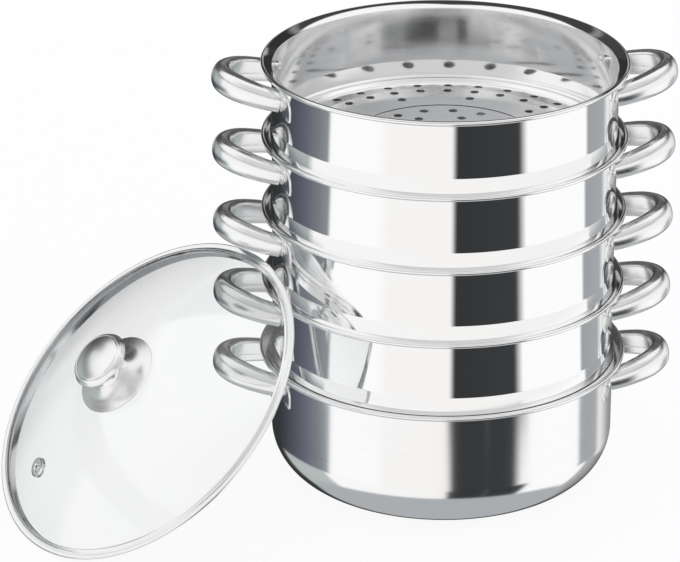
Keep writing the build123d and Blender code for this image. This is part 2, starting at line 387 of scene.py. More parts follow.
paper_out = paper_tree.nodes.new("ShaderNodeOutputMaterial")
paper_tree.links.new(sheet_or_clear, paper_out.inputs["Surface"])
table_mesh.materials.append(paper)

# The bottom pan is one deep drawing of stainless sheet, polished outside. Its edge is
# rolled outwards into a bead, and below the bead the mouth slopes in to the wall.
sheet = 0.6 * mm
bead_radius = 2.0 * mm
bead_tuck = radians(-140)
bead_blend = 0.6
bead_steps = 20
seat_radius = 141.0 * mm
seat_drop = 0.8 * mm
mouth_bend = 1.2 * mm
wall_steps = 288
pan_corner = 42.0 * mm
pan_corner_steps = 24
pan_floor_shares = (0.97, 0.9, 0.6, 0.3, 0)
pan_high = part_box("pot_body")[1]
pan_rim_radius = min(pan_high.x, pan_high.y)
pan_rim_height = pan_high.z - bead_radius
pan_inner_radius = 139.4 * mm
sharpest_mitre = 0.3
weld_distance = 1e-7


def arc(centre, radius, start, end, steps):
    """Points round an arc, as radius and height, from one angle to another."""
    turns = [start + (end - start) * step / steps for step in range(steps + 1)]
    across, up = centre
    return [(across + radius * cos(turn), up + radius * sin(turn)) for turn in turns]


def bent(corners, bends, steps=6):
    """A line through the corners, with each corner between the ends bent round."""
    line = [corners[0]]
    for before, corner, after, bend in zip(corners, corners[1:], corners[2:], bends):
        at = Vector(corner)
        back = (Vector(before) - at).normalized()
        on = (Vector(after) - at).normalized()
        half = acos(max(-1.0, min(1.0, back.dot(on)))) / 2
        shorter = min((Vector(before) - at).length, (Vector(after) - at).length)
        reach = min(bend / tan(half), shorter / 2)
        radius = reach * tan(half)
        middle = at + (back + on).normalized() * (radius / sin(half))
        first = at + back * reach - middle
        last = at + on * reach - middle
        sweep = first.angle_signed(last)
        for step in range(steps + 1):
            spun = first.copy()
            spun.rotate(Matrix.Rotation(-sweep * step / steps, 2))
            line.append(tuple(middle + spun))
    line.append(corners[-1])
    return line


def other_face(line, thickness):
    """The line of the sheet's other face, to the left of the way the line runs."""
    made = []
    for index, point in enumerate(line):
        here = Vector(point)
        ways = []
        if index > 0:
            ways.append((here - Vector(line[index - 1])).normalized())
        if index < len(line) - 1:
            ways.append((Vector(line[index + 1]) - here).normalized())
        normals = [Vector((-way.y, way.x)) for way in ways]
        middle = sum(normals[1:], normals[0]).normalized()
        lean = max(sharpest_mitre, middle.dot(normals[0]))
        made.append(tuple(here + middle * (thickness / lean)))
    return made


def mouth_line(rim_radius, rim_height, inner_radius):
    """The rolled bead and the sloping mouth, down to where the wall begins."""
    bead = (rim_radius - bead_radius, rim_height)
    slope = atan2(bead_radius + seat_drop, bead[0] - seat_radius)
    roll = arc(bead, bead_radius, bead_tuck, pi / 2 + slope * bead_blend, bead_steps)
    run = roll[-1][0] - inner_radius
    foot = (inner_radius, roll[-1][1] - run * tan(slope))
    return roll, foot


def object_from(name, bm, body, finishes, smooth_angle=30, place=None):
    """Makes a smooth-shaded piece of a bmesh, with its finishes, that rides on its body."""
    if place is not None:
        bmesh.ops.transform(bm, matrix=place, verts=bm.verts)
    bmesh.ops.remove_doubles(bm, verts=bm.verts, dist=weld_distance)
    bmesh.ops.recalc_face_normals(bm, faces=bm.faces)
    mesh = bpy.data.meshes.new(name)
    bm.to_mesh(mesh)
    bm.free()
    mesh.shade_smooth()
    mesh.set_sharp_from_angle(angle=radians(smooth_angle))
    for finish in finishes:
        mesh.materials.append(finish)
    piece = bpy.data.objects.new(name, mesh)
    bpy.context.scene.collection.objects.link(piece)
    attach(piece, body)
    return piece


def ring_of(bm, radius, height, steps, place=None):
    """A ring of vertices, or one vertex on the axis."""
    if radius < weld_distance:
        points = [Vector((0, 0, height))]
    else:
        points = []
        for step in range(steps):
            turn = 2 * pi * step / steps
            points.append(Vector((radius * cos(turn), radius * sin(turn), height)))
    if place is not None:
        points = [place @ point for point in points]
    return [bm.verts.new(point) for point in points]


def band_between(bm, lower, upper, finish=0):
    """Faces between two rings, or a fan where one is a single vertex."""
    steps = max(len(lower), len(upper))
    for step in range(steps):
        on = (step + 1) % steps
        if len(lower) == 1:
            face = bm.faces.new((lower[0], upper[step], upper[on]))
        elif len(upper) == 1:
            face = bm.faces.new((lower[step], lower[on], upper[0]))
        else:
            face = bm.faces.new((lower[step], lower[on], upper[on], upper[step]))
        face.material_index = finish


def turned(bm, line, steps, place=None, closed=True, finish=0):
    """Turns a line of radius and height round the axis."""
    rings = [ring_of(bm, radius, height, steps, place) for radius, height in line]
    pairs = list(zip(rings, rings[1:]))
    if closed:
        pairs.append((rings[-1], rings[0]))
    for lower, upper in pairs:
        if len(lower) > 1 or len(upper) > 1:
            band_between(bm, lower, upper, finish)
    return rings


# The polishing wheel leaves marks that are long round the piece and very narrow.
marks_along = 2.0
marks_across = 1600.0
faint_mark = 0.3
deep_mark = 0.7
ripple_depth = 0.02 * mm
plain_steel = (0.9, 0.9, 0.905, 1)
duller_steel = (0.955, 0.955, 0.96)
paler_steel = (0.985, 0.985, 0.985)


def new_material(name):
    """A material with its nodes, its links and its shader."""
    material = bpy.data.materials.new(name)
    material.use_nodes = True
    nodes = material.node_tree.nodes
    return material, nodes, material.node_tree.links, nodes["Principled BSDF"]


def tool_marks(tree, along, across, place=None):
    """Fine lines left by the polishing wheel, which run round the piece's own axis."""
    # The marks' place goes slowly by the angle round the axis, and fast by how far up and
    # how far out the metal is, so that walls and floors both get rings.
    nodes, links = tree.nodes, tree.links
    where_on = nodes.new("ShaderNodeTexCoord").outputs["Object"]
    if place is not None:
        own = nodes.new("ShaderNodeMapping")
        back = place.inverted()
        own.inputs["Location"].default_value = back.to_translation()
        own.inputs["Rotation"].default_value = back.to_euler()
        links.new(where_on, own.inputs["Vector"])
        where_on = own.outputs[0]
    split = nodes.new("ShaderNodeSeparateXYZ")
    links.new(where_on, split.inputs[0])
    flat = nodes.new("ShaderNodeCombineXYZ")
    links.new(split.outputs["X"], flat.inputs["X"])
    links.new(split.outputs["Y"], flat.inputs["Y"])
    radius = nodes.new("ShaderNodeVectorMath")
    radius.operation = "LENGTH"
    links.new(flat.outputs[0], radius.inputs[0])
    unit = nodes.new("ShaderNodeVectorMath")
    unit.operation = "NORMALIZE"
    links.new(flat.outputs[0], unit.inputs[0])
    stretched = nodes.new("ShaderNodeVectorMath")
    stretched.operation = "SCALE"
    stretched.inputs["Scale"].default_value = along
    links.new(unit.outputs[0], stretched.inputs[0])
    sides = nodes.new("ShaderNodeSeparateXYZ")
    links.new(stretched.outputs[0], sides.inputs[0])
    rows = math_in(tree, "ADD", split.outputs["Z"], radius.outputs["Value"])
    fine = math_in(tree, "MULTIPLY", rows, across)
    where = nodes.new("ShaderNodeCombineXYZ")
    links.new(sides.outputs["X"], where.inputs["X"])
    links.new(sides.outputs["Y"], where.inputs["Y"])
    links.new(fine, where.inputs["Z"])
    noise = nodes.new("ShaderNodeTexNoise")
    noise.inputs["Scale"].default_value = 1.0
    noise.inputs["Detail"].default_value = 4.0
    noise.inputs["Roughness"].default_value = 0.6
    links.new(where.outputs[0], noise.inputs["Vector"])
    return noise


def polished_steel(name, low, high, scratch, place=None):
    """Steel with fine wheel marks in its gloss and its tint, and the faintest ripple."""
    material, nodes, links, shader = new_material(name)
    shader.inputs["Metallic"].default_value = 1.0
    shader.inputs["Roughness"].default_value = low
    shader.inputs["Base Color"].default_value = plain_steel
    marks = tool_marks(material.node_tree, marks_along, marks_across, place)
    gloss = nodes.new("ShaderNodeMapRange")
    gloss.inputs["From Min"].default_value = faint_mark
    gloss.inputs["From Max"].default_value = deep_mark
    gloss.inputs["To Min"].default_value = low
    gloss.inputs["To Max"].default_value = high
    links.new(marks.outputs["Fac"], gloss.inputs["Value"])
    links.new(gloss.outputs[0], shader.inputs["Roughness"])
    tint = ramp_node(nodes, [(faint_mark, duller_steel), (deep_mark, paler_steel)])
    links.new(marks.outputs["Fac"], tint.inputs[0])
    links.new(tint.outputs[0], shader.inputs["Base Color"])
    bump = nodes.new("ShaderNodeBump")
    bump.inputs["Strength"].default_value = scratch
    bump.inputs["Distance"].default_value = ripple_depth
    links.new(marks.outputs["Fac"], bump.inputs["Height"])
    links.new(bump.outputs[0], shader.inputs["Normal"])
    return material


pan_polish = polished_steel("pan_polish", low=0.10, high=0.14, scratch=0.15)
pan_inside_satin = polished_steel("pan_inside_satin", low=0.14, high=0.22, scratch=0.1)

pan_roll, pan_foot = mouth_line(pan_rim_radius, pan_rim_height, pan_inner_radius)
pan_floor_radius = pan_inner_radius + sheet - pan_corner
corner_centre = (pan_floor_radius, pan_corner)
pan_inside = (
    pan_roll
    + bent([pan_roll[-1], pan_foot, (pan_inner_radius, pan_corner)], [mouth_bend])[1:]
    + arc(corner_centre, pan_corner - sheet, 0, -pi / 2, pan_corner_steps)[1:]
    + [(pan_floor_radius * share, sheet) for share in pan_floor_shares]
)
pan_outside = other_face(pan_inside, sheet)
pan_outside[-1] = (0, 0)
bm = bmesh.new()
inside_rings = turned(bm, pan_inside, wall_steps, closed=False, finish=1)
outside_rings = turned(bm, pan_outside, wall_steps, closed=False)
band_between(bm, inside_rings[0], outside_rings[0])
pan = object_from("pan", bm, "pot", [pan_polish, pan_inside_satin])
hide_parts("pot_body")

# A steaming tier is one drawing of the same sheet. Its foot flares out to a seat that
# stands on the mouth below, then steps in to a floor that is punched with steam holes.
tier_inner_radius = 138.1 * mm
flare_height = 13.9 * mm
seat_inner_radius = 139.0 * mm
ledge_radius = 134.6 * mm
floor_radius = 132.2 * mm
floor_depth = 65.6 * mm
seat_gap = 0.3 * mm
crease_radius = 114.5 * mm
crease_rise = 1.6 * mm
disc_radius = 74.0 * mm
disc_edge = 1.6 * mm
disc_drop = 0.5 * mm
hole_radius = 3.6 * mm
hole_steps = 24
hole_rings = [
    (floor_radius * 0.923, 30, 0.0),
    (floor_radius * 0.813, 30, 0.0),
    (floor_radius * 0.688, 10, 0.0),
    (floor_radius * 0.461, 16, 0.5),
    (floor_radius * 0.344, 8, 0.5),
]
tier_bends = [bend * mm for bend in (1.2, 6.0, 0.5, 0.5, 1.2, 1.5, 20, 2, 2)]

# The satin inside begins halfway round the bend below the mouth.
satin_from = bead_steps + 3
tier_names = ["tier_1", "tier_2", "tier_3", "tier_4"]


def edge_between(bm, pair):
    """The edge that joins two vertices, and a new one if there is none yet."""
    return bm.edges.get(pair) or bm.edges.new(pair)


def edges_round(bm, ring):
    """The edges that join a ring's vertices in turn."""
    return [edge_between(bm, pair) for pair in zip(ring, ring[1:] + ring[:1])]


def pierced(bm, outer, inner, holes, finish):
    """Fills the floor between two rings, or inside one, and leaves the holes open."""
    outer_radius, outer_height = outer[0].co.xy.length, outer[0].co.z
    inner_radius, inner_height = 0, outer_height
    borders = edges_round(bm, outer)
    if inner:
        inner_radius, inner_height = inner[0].co.xy.length, inner[0].co.z
        borders += edges_round(bm, inner)
    slope = (outer_height - inner_height) / (outer_radius - inner_radius)
    circles = []
    for ring_radius, count, start_share in holes:
        for number in range(count):
            turn = 2 * pi * (number + start_share) / count
            middle = Vector((ring_radius * cos(turn), ring_radius * sin(turn)))
            circle = []
            for step in range(hole_steps):
                spin = 2 * pi * step / hole_steps
                point = middle + Vector((hole_radius * cos(spin), hole_radius * sin(spin)))
                height = inner_height + slope * (point.length - inner_radius)
                circle.append(bm.verts.new((point.x, point.y, height)))
            circles.append(circle)
            borders += edges_round(bm, circle)
    filled = bmesh.ops.triangle_fill(bm, use_beauty=True, edges=borders, normal=(0, 0, 1))
    for face in filled["geom"]:
        if isinstance(face, bmesh.types.BMFace):
            face.material_index = finish
    return circles


def turned_floor(bm, line, steps, finish):
    """Turns a tier's line, and pierces the stretches of it that hold rings of holes."""
    rings = [ring_of(bm, radius, height, steps) for radius, height in line[:-1]]
    circles = []
    for index, lower in enumerate(rings):
        upper = rings[index + 1] if index + 1 < len(rings) else None
        near, far = line[index + 1][0], line[index][0]
        holes = [hole for hole in hole_rings if near < hole[0] < far]
        if holes:
            circles += pierced(bm, lower, upper, holes, finish)
        else:
            band_between(bm, lower, upper, finish if index > satin_from else 0)
    return rings, circles


def tier_lines(rim_height, rim_below, mouth_radius_below):
    """The inside and the outside of a tier, as lines of radius and height."""
    slope = (bead_radius + seat_drop) / (mouth_radius_below - bead_radius - seat_radius)
    seat_height = rim_below - seat_drop + seat_gap + sheet
    ledge_height = seat_height - (seat_radius - seat_inner_radius) * slope
    floor_height = rim_height - floor_depth
    disc_height = floor_height + crease_rise - disc_drop
    roll, foot = mouth_line(tier_rim_radius, rim_height, tier_inner_radius)
    corners = [
        roll[-1],
        foot,
        (tier_inner_radius, rim_below + flare_height),
        (seat_radius - sheet, seat_height),
        (seat_inner_radius - sheet, ledge_height),
        (ledge_radius, ledge_height),
        (floor_radius, floor_height),
        (crease_radius, floor_height + crease_rise),
        (disc_radius, floor_height + crease_rise),
        (disc_radius - disc_edge, disc_height),
        (0, disc_height),
    ]
    inside = roll + bent(corners, tier_bends)[1:]
    outside = other_face(inside, sheet)
    outside[-1] = (0, inside[-1][1] - sheet)
    return inside, outside


tier_polish = polished_steel("tier_polish", low=0.035, high=0.06, scratch=0.04)
tier_inside_satin = polished_steel("tier_inside_satin", low=0.09, high=0.13, scratch=0.04)
tier_rim_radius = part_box("tier_4_body")[1].x
rim_heights = {"pot": pan_rim_height}
rim_below = pan_rim_height
mouth_radius_below = pan_rim_radius
for body in tier_names:
    rim_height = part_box(f"{body}_body")[1].z - bead_radius
    rim_heights[body] = rim_height
    inside, outside = tier_lines(rim_height, rim_below, mouth_radius_below)
    bm = bmesh.new()
    inside_rings, inside_circles = turned_floor(bm, inside, wall_steps, 1)
    outside_rings, outside_circles = turned_floor(bm, outside, wall_steps, 0)
    band_between(bm, inside_rings[0], outside_rings[0])
    for upper, lower in zip(inside_circles, outside_circles):
        band_between(bm, lower, upper, 1)
    finishes = [tier_polish, tier_inside_satin]
    tier = object_from(f"steaming_{body}", bm, body, finishes)
    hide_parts(f"{body}_body")
    rim_below, mouth_radius_below = rim_height, tier_rim_radius

# A handle is a loop of steel tube, pressed oval and polished. A strip closes its inner
# side, and its ends stand on leaf-shaped tabs that are riveted through the wall.
handle_drop = 19.1 * mm
handle_reach = 47.4 * mm
handle_half_width = 37.3 * mm
handle_rise = radians(12.2)
handle_steps = 96
handle_half_thickness = 6.5 * mm
end_half_height = 10.8 * mm
wall_half_height = 8.75 * mm
reach_power = 2 / 1.57
width_power = 2 / 2.12
face_steps = 28
belly_power = 0.86
shoulder_power = 0.9
back_share = 0.9
grown_share = 0.75
ridge_share = -0.35
edge_bend = 2.4 * mm
seam_depth = 0.4 * mm
seam_share = -0.2
seam_half = 0.45 * mm
seam_lip = 0.15 * mm
seam_foot = 0.2 * mm
tab_thickness = 0.9 * mm
tab_edge_share = 0.6
tab_edge_inset = 0.35 * mm
tab_rows = 4

# The leaf, in columns away from the handle's middle: the angle round the wall in degrees,
# and how far its top and bottom lie under the rim, in millimetres.
tab_leaf = [
    (14.5, -9.5, -23.5),
    (17.0, -8.0, -25.0),
    (19.5, -7.8, -27.4),
    (21.6, -9.0, -29.4),
    (23.2, -11.8, -30.3),
    (24.2, -16.5, -29.6),
    (24.5, -21.0, -26.0),
]


def power(value, exponent):
    """A power that keeps the sign."""
    return abs(value) ** exponent * (1 if value >= 0 else -1)


def handle_section(half_height):
    """The tube's section, as distance outwards and upwards from its middle line."""
    ridge = ridge_share * handle_half_thickness
    points = []
    for step in range(1, face_steps):
        turn = pi * (step / face_steps - 0.5)
        out = ridge + (handle_half_thickness - ridge) * power(cos(turn), belly_power)
        points.append((out, half_height * power(sin(turn), shoulder_power)))
    flat, seam = -handle_half_thickness, seam_share * half_height
    corners = [
        (ridge, half_height),
        (flat, half_height * back_share),
        (flat, seam + seam_half),
        (flat + seam_depth, seam),
        (flat, seam - seam_half),
        (flat, -half_height * back_share),
        (ridge, -half_height),
    ]
    return points + bent(corners, [edge_bend, seam_lip, seam_foot, seam_lip, edge_bend])


def handle_mesh(bm, place):
    """Sweeps the tube round its loop, from one arm's foot to the other's."""
    path = []
    for step in range(handle_steps + 1):
        turn = pi * (step / handle_steps - 0.5)
        out = handle_reach * abs(cos(turn)) ** reach_power
        side = handle_half_width * power(sin(turn), width_power)
        path.append(Vector((out, side)))
    loops = []
    for index, point in enumerate(path):
        before = path[max(index - 1, 0)]
        after = path[min(index + 1, handle_steps)]
        way = (after - before).normalized()
        outwards = Vector((way.y, -way.x))
        share = min(1.0, point.x / (grown_share * handle_reach))
        half_height = wall_half_height + (end_half_height - wall_half_height) * share
        loop = []
        for out, up in handle_section(half_height):
            at = point + outwards * out
            loop.append(bm.verts.new(place @ Vector((at.x, at.y, up))))
        loops.append(loop)
    for lower, upper in zip(loops, loops[1:]):
        band_between(bm, lower, upper)
    for loop in (loops[0], loops[-1]):
        bm.faces.new(loop)


def tab_mesh(bm, wall_radius, rim_height, side, end):
    """A leaf of sheet that lies on the wall beside an arm's foot."""
    layers = []
    for share, inset in ((0.0, 0.0), (tab_edge_share, 0.0), (1.0, tab_edge_inset)):
        radius = wall_radius + tab_thickness * share
        columns = []
        for degrees_out, top, bottom in tab_leaf:
            turn = radians(degrees_out) - inset / wall_radius
            high, low = top * mm - inset, bottom * mm + inset
            column = []
            for row in range(tab_rows + 1):
                height = rim_height + high + (low - high) * row / tab_rows
                across, along = radius * cos(turn), radius * sin(turn)
                column.append(bm.verts.new((side * across, end * along, height)))
            columns.append(column)
        layers.append(columns)
    for layer in (layers[0], layers[-1]):
        for left, right in zip(layer, layer[1:]):
            for row in range(tab_rows):
                bm.faces.new((left[row], left[row + 1], right[row + 1], right[row]))
    borders = []
    for columns in layers:
        border = [column[0] for column in columns] + columns[-1][1:]
        border += [column[-1] for column in columns[-2::-1]] + columns[0][-2:0:-1]
        borders.append(border)
    for lower, upper in zip(borders, borders[1:]):
        band_between(bm, lower, upper)


handle_polish = polished_steel("handle_polish", low=0.2, high=0.27, scratch=0.12)
wall_radii = {"pot": pan_inner_radius + sheet}
for body in tier_names:
    wall_radii[body] = tier_inner_radius + sheet
for body, wall_radius in wall_radii.items():
    rim_height = rim_heights[body]
    root_radius = sqrt(wall_radius**2 - handle_half_width**2)
    root = Vector((root_radius, 0, rim_height - handle_drop))
    for side, word in ((1, "right"), (-1, "left")):
        bm = bmesh.new()
        spin = Matrix.Rotation(0 if side > 0 else pi, 4, "Z")
        place = spin @ Matrix.Translation(root) @ Matrix.Rotation(-handle_rise, 4, "Y")
        handle_mesh(bm, place)
        tab_mesh(bm, wall_radius, rim_height, side, 1)
        tab_mesh(bm, wall_radius, rim_height, side, -1)
        node = f"{body}_handle_{word}"
        handle = object_from(
            f"loop_{node}", bm, body, [handle_polish], smooth_angle=40
        )
        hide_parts(node)

# Each handle is held by two solid rivets. A shank runs through the tab and the wall, and
# its ends are pressed into low round heads, of which the outer one keeps a small dimple.
rivet_angles = [side + step for side in (0, 180) for step in (-20, 20)]
rivet_bends = [bend * mm for bend in (1.4, 0.3, 0.05, 0.05, 0.3, 0.9, 0.4, 0.4)]
rivet_drop = 17.6 * mm
rivet_head = 3.8 * mm
rivet_shank = 2.0 * mm
rivet_gap = 0.05 * mm
rivet_height = 1.3 * mm
rivet_steps = 32


def rivet_line(grip):
    """A rivet's outline, from the inner head's middle to the outer head's."""
    inner, outer = -sheet - rivet_gap, grip
    return bent(
        [
            (0, inner - rivet_height),
            (rivet_head * 0.7, inner - rivet_height * 0.85),
            (rivet_head, inner),
            (rivet_shank, inner),
            (rivet_shank, outer),
            (rivet_head, outer),
            (rivet_head * 0.86, outer + rivet_height),
            (rivet_head * 0.45, outer + rivet_height),
            (rivet_head * 0.22, outer + rivet_height * 0.55),
            (0, outer + rivet_height * 0.5),
        ],
        rivet_bends,
        steps=4,
    )


rivet_satin = polished_steel("rivet_satin", low=0.16, high=0.26, scratch=0.25)
for body, wall_radius in wall_radii.items():
    bm = bmesh.new()
    for degrees_round in rivet_angles:
        out = Vector((cos(radians(degrees_round)), sin(radians(degrees_round)), 0))
        seat = out * wall_radius + Vector((0, 0, rim_heights[body] - rivet_drop))
        place = Matrix.Translation(seat) @ out.to_track_quat("Z", "Y").to_matrix().to_4x4()
        turned(bm, rivet_line(tab_thickness + rivet_gap), rivet_steps, place, closed=False)
    node = f"{body}_rivets"
    rivets = object_from(
        f"handle_{node}", bm, body, [rivet_satin], smooth_angle=40
    )
    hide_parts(node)

# The lid is a dome of clear tempered glass. It is pressed to shape while it is hot, and
# has one hole at its crown for the knob's screw and one low down for the steam vent.
lid_heading = radians(211.4)
lid_rise = radians(46.4997)
lid_out = Vector(
    (cos(lid_rise) * cos(lid_heading), cos(lid_rise) * sin(lid_heading), sin(lid_rise))
)
lid_up = Vector(
    (-sin(lid_rise) * cos(lid_heading), -sin(lid_rise) * sin(lid_heading), cos(lid_rise))
)
lid_across = lid_out.cross(lid_up)
lid_middle = Vector((-244.309, -79.808, 100.878)) * mm
lid_axes = Matrix((lid_up, lid_across, lid_out)).transposed().to_4x4()
lid_place = Matrix.Translation(lid_middle) @ lid_axes
glass_radius = 139.4 * mm
glass_thickness = 4.0 * mm
glass_edge_height = 1.92 * mm
crown_radius = 278.0 * mm
crown_centre = glass_edge_height - sqrt(crown_radius**2 - glass_radius**2)
crown_height = crown_centre + crown_radius
knob_hole = 4.0 * mm
edge_round = 0.8 * mm
glass_steps = 240
dome_runs = 46
vent_across_share = 0.217
vent_down_share = 0.683
vent_hole = 5.6 * mm
vent_steps = 48
vent_patch = 12.5 * mm


def dome_height(radius, below=0.0):
    """Height of the glass's outer face, or of a face that far under it, at a radius."""
    return crown_centre + sqrt((crown_radius - below) ** 2 - radius**2)


vent_flat = Vector((-vent_down_share, vent_across_share)) * glass_radius
vent_turn = atan2(vent_flat.y, vent_flat.x)
vent_lean = asin(vent_flat.length / crown_radius)
vent_out = Vector(
    (sin(vent_lean) * cos(vent_turn), sin(vent_lean) * sin(vent_turn), cos(vent_lean))
)


def dome_face(bm, below):
    """One face of the dome, with its rings inside out and the vent's hole left open."""
    reach = glass_radius - edge_round - knob_hole
    radii = [knob_hole + reach * run / dome_runs for run in range(dome_runs + 1)]
    rings = []
    for radius in radii:
        rings.append(ring_of(bm, radius, dome_height(radius, below), glass_steps))
    half_turn = vent_patch / vent_flat.length
    borders = {}
    for inner, outer, near, far in zip(rings, rings[1:], radii, radii[1:]):
        for step in range(glass_steps):
            on = (step + 1) % glass_steps
            middle_turn = 2 * pi * (step + 0.5) / glass_steps
            off = abs((middle_turn - vent_turn + pi) % (2 * pi) - pi)
            corners = (inner[step], inner[on], outer[on], outer[step])
            if off < half_turn and abs((near + far) / 2 - vent_flat.length) < vent_patch:
                for first, second in zip(corners, corners[1:] + corners[:1]):
                    key = frozenset((first, second))
                    borders[key] = borders.get(key, 0) + 1
            else:
                bm.faces.new(corners)
    sphere_middle = Vector((0, 0, crown_centre))
    side = vent_out.orthogonal().normalized()
    other = vent_out.cross(side)
    rise = sqrt((crown_radius - below) ** 2 - vent_hole**2)
    circle = []
    for step in range(vent_steps):
        spin = 2 * pi * step / vent_steps
        flat = (side * cos(spin) + other * sin(spin)) * vent_hole
        circle.append(bm.verts.new(sphere_middle + vent_out * rise + flat))
    # Edges that belong to a single left-out face make the fence round the vent's patch.
    edges = [edge_between(bm, tuple(key)) for key, uses in borders.items() if uses == 1]
    edges += edges_round(bm, circle)
    bmesh.ops.triangle_fill(bm, use_beauty=True, edges=edges, normal=vent_out)
    return rings, circle


def clear_glass(name):
    """Clear glass with the faintest green and a trace of wiping in its gloss."""
    material, nodes, links, shader = new_material(name)
    shader.inputs["Transmission Weight"].default_value = 1.0
    shader.inputs["IOR"].default_value = 1.5
    wiped = nodes.new("ShaderNodeTexNoise")
    wiped.inputs["Scale"].default_value = 14.0
    wiped.inputs["Detail"].default_value = 3.0
    where = nodes.new("ShaderNodeTexCoord")
    links.new(where.outputs["Object"], wiped.inputs["Vector"])
    tint = ramp_node(nodes, [(0.35, (0.955, 0.965, 0.965)), (0.65, (0.975, 0.98, 0.98))])
    links.new(wiped.outputs["Fac"], tint.inputs[0])
    links.new(tint.outputs[0], shader.inputs["Base Color"])
    gloss = nodes.new("ShaderNodeMapRange")
    gloss.inputs["To Min"].default_value = 0.0
    gloss.inputs["To Max"].default_value = 0.03
    links.new(wiped.outputs["Fac"], gloss.inputs["Value"])
    links.new(gloss.outputs[0], shader.inputs["Roughness"])
    return material


bm = bmesh.new()
top_rings, top_circle = dome_face(bm, 0.0)
under_rings, under_circle = dome_face(bm, glass_thickness)
band_between(bm, top_rings[0], under_rings[0])
edge_rings = [
    ring_of(bm, glass_radius, dome_height(glass_radius, depth), glass_steps)
    for depth in (edge_round, glass_thickness - edge_round)
]
for lower, upper in zip([top_rings[-1]] + edge_rings, edge_rings + [under_rings[-1]]):
    band_between(bm, lower, upper)
band_between(bm, top_circle, under_circle)
loose = [vert for vert in bm.verts if not vert.link_faces]
bmesh.ops.delete(bm, geom=loose, context="VERTS")
dome = object_from(
    "domed_glass", bm, "lid", [clear_glass("lid_clear_glass")], place=lid_place
)
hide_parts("lid_glass")

# The rim band is rolled from one strip of stainless steel. A channel grips the glass's
# edge, a flat rim outside it lies on a vessel's mouth, and a skirt drops into the mouth.
lid_radius = 145.6 * mm
rim_half = 0.9 * mm
rim_inner_radius = 141.4 * mm
step_radius = 141.6 * mm
step_height = 0.6 * mm
lip_radius = 138.3 * mm
channel_radius = 139.5 * mm
skirt_radius = 136.8 * mm
skirt_depth = 9.0 * mm
glass_play = 0.1 * mm
channel_floor = dome_height(glass_radius, glass_thickness) - glass_play
lip_height = dome_height(lip_radius) + glass_play
shoulder_height = dome_height(channel_radius) + glass_play
band_corners = [
    (rim_inner_radius, -rim_half),
    (lid_radius, -rim_half),
    (lid_radius, rim_half),
    (step_radius, step_height),
    (channel_radius + sheet, step_height),
    (channel_radius + sheet, shoulder_height + sheet),
    (lip_radius, lip_height + sheet),
    (lip_radius, lip_height),
    (channel_radius, shoulder_height),
    (channel_radius, channel_floor),
    (skirt_radius - sheet, channel_floor),
    (skirt_radius - sheet, -skirt_depth),
    (skirt_radius, -skirt_depth),
    (skirt_radius, channel_floor - sheet),
    (channel_radius + sheet, channel_floor - sheet),
    (channel_radius + sheet, -rim_half),
    (rim_inner_radius, -rim_half),
]
band_bends = [0.88, 0.88, 0.5, 0.3, 0.9, 0.29, 0.29, 0.2]
band_bends += [0.2, 0.5, 0.29, 0.29, 0.6, 0.4, 0.3]
band_satin = polished_steel("band_satin", low=0.10, high=0.16, scratch=0.2, place=lid_place)
bm = bmesh.new()
turned(bm, bent(band_corners, [bend * mm for bend in band_bends])[:-1], wall_steps)
band = object_from("rim_band", bm, "lid", [band_satin], place=lid_place)
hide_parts("lid_rim_band")

# The knob's cap is a spun steel button on a stem. A fine groove parts its domed top from
# the rounded shoulder, which turns in under the fingers.
cap_steps = 96
cap_edge = crown_height + 19.6 * mm
cap_top = cap_edge + 8.0 * mm
screw_top = crown_height + 14.0 * mm
stem_foot = dome_height(knob_hole) + glass_play
stem_radius = 8.0 * mm
bore_radius = 2.6 * mm
cap_bends = (60.0, 60.0, 60.0, 0.6, 0.3, 0.4, 2.4, 1.4, 1.0, 2.0, 1.5, 0.3, 0.1, 0.1)
cap_line = bent(
    [
        (0, cap_top),
        (4.9 * mm, cap_top - 0.05 * mm),
        (9.8 * mm, cap_top - 0.5 * mm),
        (14.7 * mm, cap_top - 1.25 * mm),
        (19.6 * mm, cap_top - 2.5 * mm),
        (20.2 * mm, cap_top - 3.2 * mm),
        (20.9 * mm, cap_top - 3.0 * mm),
        (22.6 * mm, cap_top - 3.9 * mm),
        (24.8 * mm, cap_edge),
        (22.8 * mm, cap_edge - 2.0 * mm),
        (10.5 * mm, cap_edge - 1.0 * mm),
        (stem_radius, cap_edge - 3.0 * mm),
        (stem_radius, stem_foot),
        (bore_radius, stem_foot),
        (bore_radius, screw_top),
        (0, screw_top),
    ],
    [bend * mm for bend in cap_bends],
)
knob_satin = polished_steel("knob_satin", low=0.2, high=0.27, scratch=0.12, place=lid_place)
bm = bmesh.new()
turned(bm, cap_line, cap_steps, closed=False)
cap = object_from("knob_cap", bm, "lid", [knob_satin], place=lid_place)
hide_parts("lid_knob_cap")

# The knob's foot is a spun trumpet of thinner sheet round the stem. Its wide end is
# turned over into a soft edge that stands on the glass.
foot_sheet = 0.9 * mm
foot_radius = 34.5 * mm
foot_edge_share = 0.6
neck_radius = 11.5 * mm
neck_top = cap_edge - 3.0 * mm
foot_bends = [40.0 * mm, 30.0 * mm, 12.0 * mm, 0.4 * mm]
foot_line = bent(
    [
        (foot_radius, dome_height(foot_radius) + glass_play),
        (22.0 * mm, crown_height + 0.5 * mm),
        (13.0 * mm, crown_height + 6.6 * mm),
        (neck_radius, crown_height + 12.0 * mm),
        (neck_radius, neck_top),
        (stem_radius + glass_play, neck_top),
    ],
    foot_bends,
    steps=12,
)
foot_outer = other_face(foot_line, -foot_sheet)
foot_outer[0] = (foot_radius, foot_line[0][1] + foot_sheet * foot_edge_share)
bm = bmesh.new()
turned(bm, foot_line + foot_outer[::-1], cap_steps)
foot = object_from("knob_foot", bm, "lid", [knob_satin], place=lid_place)
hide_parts("lid_knob_skirt")

